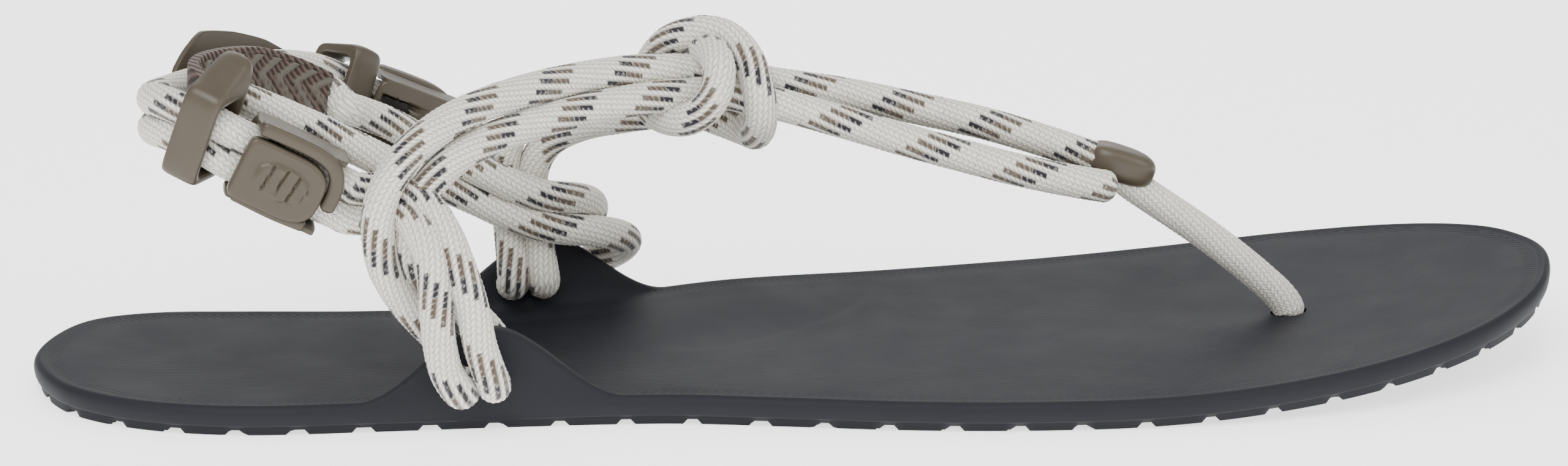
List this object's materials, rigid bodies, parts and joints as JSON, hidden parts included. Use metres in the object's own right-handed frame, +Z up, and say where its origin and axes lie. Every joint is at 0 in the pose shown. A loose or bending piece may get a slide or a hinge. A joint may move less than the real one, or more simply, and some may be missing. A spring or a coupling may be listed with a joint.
{
  "type": "sandal",
  "caption": "Low sport sandal for the right foot: a ribbed rubber sole with two lace ears and an upper of knotted round cord, with a toe post and a heel strap held by sliding cord locks.",
  "frame": {"origin": "middle of the sole seen from above, on the floor that the tread stands on", "axes": "+X from heel to toe, +Y from the outer (little toe) side to the inner (big toe) side, +Z up"},
  "size_m": [0.278, 0.1008, 0.0646],
  "materials": {
    "sole_rubber": "dark slate moulded rubber with a fine lengthwise texture",
    "braided_cord": "off-white braided cord with rows of navy and brown flecks",
    "plain_cord": "off-white woven cord without flecks",
    "hardware": "taupe moulded plastic, satin",
    "webbing": "brown webbing with raised grey-green chevrons"
  },
  "bodies": {
    "root": {"sole": "sole_rubber", "cord_harness": "braided_cord", "toe_post": "plain_cord", "toe_connector": "hardware", "lateral_lock_body": "hardware", "lateral_lock_lever": "hardware", "medial_lock_body": "hardware", "medial_lock_lever": "hardware", "lateral_ring": "hardware", "medial_ring": "hardware", "heel_pad": "webbing", "heel_plate": "hardware"}
  },
  "joints": []
}
